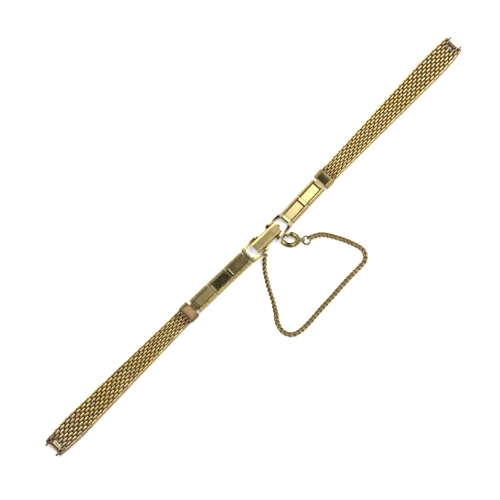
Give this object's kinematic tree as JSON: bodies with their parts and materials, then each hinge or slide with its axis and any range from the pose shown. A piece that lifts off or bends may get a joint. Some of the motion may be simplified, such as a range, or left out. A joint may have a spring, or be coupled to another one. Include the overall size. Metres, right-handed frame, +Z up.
{
  "type": "mesh watch band",
  "caption": "Tapered woven mesh watch band in gold tone with channel links, flip-lever clasp, curb safety chain and spring ring.",
  "frame": {"origin": "underside of the left clasp frame's bridge, below the lever's hinge pin, on the table that the open band lies on", "axes": "+X along the clasp towards its catch side, +Y across the band away from the safety chain, +Z up through the worn face"},
  "size_m": [0.1478, 0.0295, 0.0034],
  "materials": {
    "mesh_gold": "satin gold plate, worn on the crests",
    "rail_gold": "polished gold plate with fine scratches",
    "plate_gold": "mirror polished gold plate",
    "lever_gold": "polished gold plate, satin crest",
    "pin_gold": "drawn wire, worn plate",
    "hook_gold": "polished gold plate",
    "chain_gold": "worn gold plate, dark between the links",
    "ring_gold": "polished gold plate, toned",
    "spring_steel": "hard drawn spring stock"
  },
  "bodies": {
    "clasp_base": {"frame_left": "rail_gold", "lever_pin": "pin_gold", "link_pin_l1": "pin_gold"},
    "lever": {"lever_cover": "lever_gold", "lever_catch": "spring_steel"},
    "catch_frame": {"frame_right": "rail_gold", "catch_pin": "pin_gold", "link_pin_r1": "pin_gold"},
    "link_l1": {"link_rails_l1": "rail_gold", "link_plate_l1": "plate_gold", "link_pin_l2": "pin_gold"},
    "link_l2": {"link_rails_l2": "rail_gold", "link_plate_l2": "plate_gold", "link_pin_l3": "pin_gold"},
    "link_l3": {"link_rails_l3": "rail_gold", "link_plate_l3": "plate_gold", "cap_pin_l": "pin_gold"},
    "link_r1": {"link_rails_r1": "rail_gold", "link_plate_r1": "plate_gold", "link_pin_r2": "pin_gold"},
    "link_r2": {"link_rails_r2": "rail_gold", "link_plate_r2": "plate_gold", "cap_pin_r": "pin_gold"},
    "strap_end_l": {"end_cap_left": "rail_gold", "mesh_left_01": "mesh_gold"},
    "mesh_l2": {"mesh_left_02": "mesh_gold"},
    "mesh_l3": {"mesh_left_03": "mesh_gold"},
    "mesh_l4": {"mesh_left_04": "mesh_gold"},
    "mesh_l5": {"mesh_left_05": "mesh_gold"},
    "mesh_l6": {"mesh_left_06": "mesh_gold"},
    "mesh_l7": {"mesh_left_07": "mesh_gold"},
    "mesh_l8": {"mesh_left_08": "mesh_gold"},
    "mesh_l9": {"mesh_left_09": "mesh_gold"},
    "mesh_l10": {"mesh_left_10": "mesh_gold"},
    "hook_l": {"strap_hook_left": "hook_gold"},
    "strap_end_r": {"end_cap_right": "rail_gold", "mesh_right_01": "mesh_gold"},
    "mesh_r2": {"mesh_right_02": "mesh_gold"},
    "mesh_r3": {"mesh_right_03": "mesh_gold"},
    "mesh_r4": {"mesh_right_04": "mesh_gold"},
    "mesh_r5": {"mesh_right_05": "mesh_gold"},
    "mesh_r6": {"mesh_right_06": "mesh_gold"},
    "mesh_r7": {"mesh_right_07": "mesh_gold"},
    "mesh_r8": {"mesh_right_08": "mesh_gold"},
    "mesh_r9": {"mesh_right_09": "mesh_gold"},
    "mesh_r10": {"mesh_right_10": "mesh_gold"},
    "hook_r": {"strap_hook_right": "hook_gold"},
    "chain_ends": {"chain_first_ring": "ring_gold", "chain_upper": "chain_gold", "chain_lower": "chain_gold", "chain_end_ring": "ring_gold", "spring_ring_case": "ring_gold", "spring_ring_spring": "spring_steel"},
    "chain_bight": {"chain_middle": "chain_gold"},
    "bolt": {"spring_ring_bolt": "ring_gold"}
  },
  "joints": [
    {"name": "lever_hinge", "type": "hinge", "parent": "clasp_base", "child": "lever", "pos_m": [0, 0, 0.00105], "axis": [0, -1, 0], "range_deg": [0, 95]},
    {"name": "catch_pivot", "type": "hinge", "parent": "clasp_base", "child": "catch_frame", "pos_m": [0.00485, 0, 0.00105], "axis": [0, 1, 0], "range_deg": [-5, 5]},
    {"name": "link_l1_hinge", "type": "hinge", "parent": "clasp_base", "child": "link_l1", "pos_m": [-0.00433, 0, 0.0009], "axis": [0, -1, 0], "range_deg": [-12, 18]},
    {"name": "link_l2_hinge", "type": "hinge", "parent": "link_l1", "child": "link_l2", "pos_m": [-0.01038, 0, 0.0009], "axis": [0, -1, 0], "range_deg": [-12, 18]},
    {"name": "link_l3_hinge", "type": "hinge", "parent": "link_l2", "child": "link_l3", "pos_m": [-0.01643, 0, 0.0009], "axis": [0, -1, 0], "range_deg": [-12, 18]},
    {"name": "cap_l_hinge", "type": "hinge", "parent": "link_l3", "child": "strap_end_l", "pos_m": [-0.02248, 0, 0.0009], "axis": [0, -1, 0], "range_deg": [-12, 18]},
    {"name": "link_r1_hinge", "type": "hinge", "parent": "catch_frame", "child": "link_r1", "pos_m": [0.009, 0, 0.0009], "axis": [0, 1, 0], "range_deg": [-12, 18]},
    {"name": "link_r2_hinge", "type": "hinge", "parent": "link_r1", "child": "link_r2", "pos_m": [0.01504, 0.00037, 0.0009], "axis": [-0.061, 0.9981, 0], "range_deg": [-12, 18]},
    {"name": "cap_r_hinge", "type": "hinge", "parent": "link_r2", "child": "strap_end_r", "pos_m": [0.02108, 0.00074, 0.0009], "axis": [-0.061, 0.9981, 0], "range_deg": [-12, 18]},
    {"name": "mesh_l_flex_1", "type": "hinge", "parent": "strap_end_l", "child": "mesh_l2", "pos_m": [-0.03047, -0.00021, 0.0009], "axis": [0.0262, -0.9997, 0], "range_deg": [-6, 9]},
    {"name": "mesh_l_flex_2", "type": "hinge", "parent": "mesh_l2", "child": "mesh_l3", "pos_m": [-0.03503, -0.00033, 0.0009], "axis": [0.0262, -0.9997, 0], "range_deg": [-6, 9]},
    {"name": "mesh_l_flex_3", "type": "hinge", "parent": "mesh_l3", "child": "mesh_l4", "pos_m": [-0.03959, -0.00045, 0.0009], "axis": [0.0262, -0.9997, 0], "range_deg": [-6, 9]},
    {"name": "mesh_l_flex_4", "type": "hinge", "parent": "mesh_l4", "child": "mesh_l5", "pos_m": [-0.04415, -0.00057, 0.0009], "axis": [0.0262, -0.9997, 0], "range_deg": [-6, 9]},
    {"name": "mesh_l_flex_5", "type": "hinge", "parent": "mesh_l5", "child": "mesh_l6", "pos_m": [-0.04871, -0.00069, 0.0009], "axis": [0.0262, -0.9997, 0], "range_deg": [-6, 9]},
    {"name": "mesh_l_flex_6", "type": "hinge", "parent": "mesh_l6", "child": "mesh_l7", "pos_m": [-0.05327, -0.00081, 0.0009], "axis": [0.0262, -0.9997, 0], "range_deg": [-6, 9]},
    {"name": "mesh_l_flex_7", "type": "hinge", "parent": "mesh_l7", "child": "mesh_l8", "pos_m": [-0.05782, -0.00093, 0.0009], "axis": [0.0262, -0.9997, 0], "range_deg": [-6, 9]},
    {"name": "mesh_l_flex_8", "type": "hinge", "parent": "mesh_l8", "child": "mesh_l9", "pos_m": [-0.06238, -0.00104, 0.0009], "axis": [0.0262, -0.9997, 0], "range_deg": [-6, 9]},
    {"name": "mesh_l_flex_9", "type": "hinge", "parent": "mesh_l9", "child": "mesh_l10", "pos_m": [-0.06694, -0.00116, 0.0009], "axis": [0.0262, -0.9997, 0], "range_deg": [-6, 9]},
    {"name": "hook_l_hinge", "type": "hinge", "parent": "mesh_l10", "child": "hook_l", "pos_m": [-0.07059, -0.00126, 0.0009], "axis": [0.0262, -0.9997, 0], "range_deg": [-60, 20]},
    {"name": "mesh_r_flex_1", "type": "hinge", "parent": "strap_end_r", "child": "mesh_r2", "pos_m": [0.02907, 0.00109, 0.0009], "axis": [-0.0436, 0.999, 0], "range_deg": [-6, 9]},
    {"name": "mesh_r_flex_2", "type": "hinge", "parent": "mesh_r2", "child": "mesh_r3", "pos_m": [0.03362, 0.00129, 0.0009], "axis": [-0.0436, 0.999, 0], "range_deg": [-6, 9]},
    {"name": "mesh_r_flex_3", "type": "hinge", "parent": "mesh_r3", "child": "mesh_r4", "pos_m": [0.03818, 0.00149, 0.0009], "axis": [-0.0436, 0.999, 0], "range_deg": [-6, 9]},
    {"name": "mesh_r_flex_4", "type": "hinge", "parent": "mesh_r4", "child": "mesh_r5", "pos_m": [0.04273, 0.00168, 0.0009], "axis": [-0.0436, 0.999, 0], "range_deg": [-6, 9]},
    {"name": "mesh_r_flex_5", "type": "hinge", "parent": "mesh_r5", "child": "mesh_r6", "pos_m": [0.04729, 0.00188, 0.0009], "axis": [-0.0436, 0.999, 0], "range_deg": [-6, 9]},
    {"name": "mesh_r_flex_6", "type": "hinge", "parent": "mesh_r6", "child": "mesh_r7", "pos_m": [0.05184, 0.00208, 0.0009], "axis": [-0.0436, 0.999, 0], "range_deg": [-6, 9]},
    {"name": "mesh_r_flex_7", "type": "hinge", "parent": "mesh_r7", "child": "mesh_r8", "pos_m": [0.0564, 0.00228, 0.0009], "axis": [-0.0436, 0.999, 0], "range_deg": [-6, 9]},
    {"name": "mesh_r_flex_8", "type": "hinge", "parent": "mesh_r8", "child": "mesh_r9", "pos_m": [0.06096, 0.00248, 0.0009], "axis": [-0.0436, 0.999, 0], "range_deg": [-6, 9]},
    {"name": "mesh_r_flex_9", "type": "hinge", "parent": "mesh_r9", "child": "mesh_r10", "pos_m": [0.06551, 0.00268, 0.0009], "axis": [-0.0436, 0.999, 0], "range_deg": [-6, 9]},
    {"name": "hook_r_hinge", "type": "hinge", "parent": "mesh_r10", "child": "hook_r", "pos_m": [0.07098, 0.00292, 0.0009], "axis": [-0.0436, 0.999, 0], "range_deg": [-60, 20]},
    {"name": "chain_swing", "type": "hinge", "parent": "clasp_base", "child": "chain_ends", "pos_m": [-0.00105, -0.00256, 0.00075], "axis": [0.9988, -0.048, 0.0067], "range_deg": [-15, 45]},
    {"name": "chain_fold", "type": "hinge", "parent": "chain_ends", "child": "chain_bight", "pos_m": [0.01708, -0.01652, 0.00048], "axis": [0.9998, -0.0209, 0], "range_deg": [-15, 25]},
    {"name": "bolt_slide", "type": "hinge", "parent": "chain_ends", "child": "bolt", "pos_m": [0.00605, -0.0046, 0.00172], "axis": [0.3604, 0.368, 0.8572], "range_deg": [0, 55], "stiffness_Nm_per_rad": 0.0004, "deforming": ["spring_ring_spring"]}
  ]
}
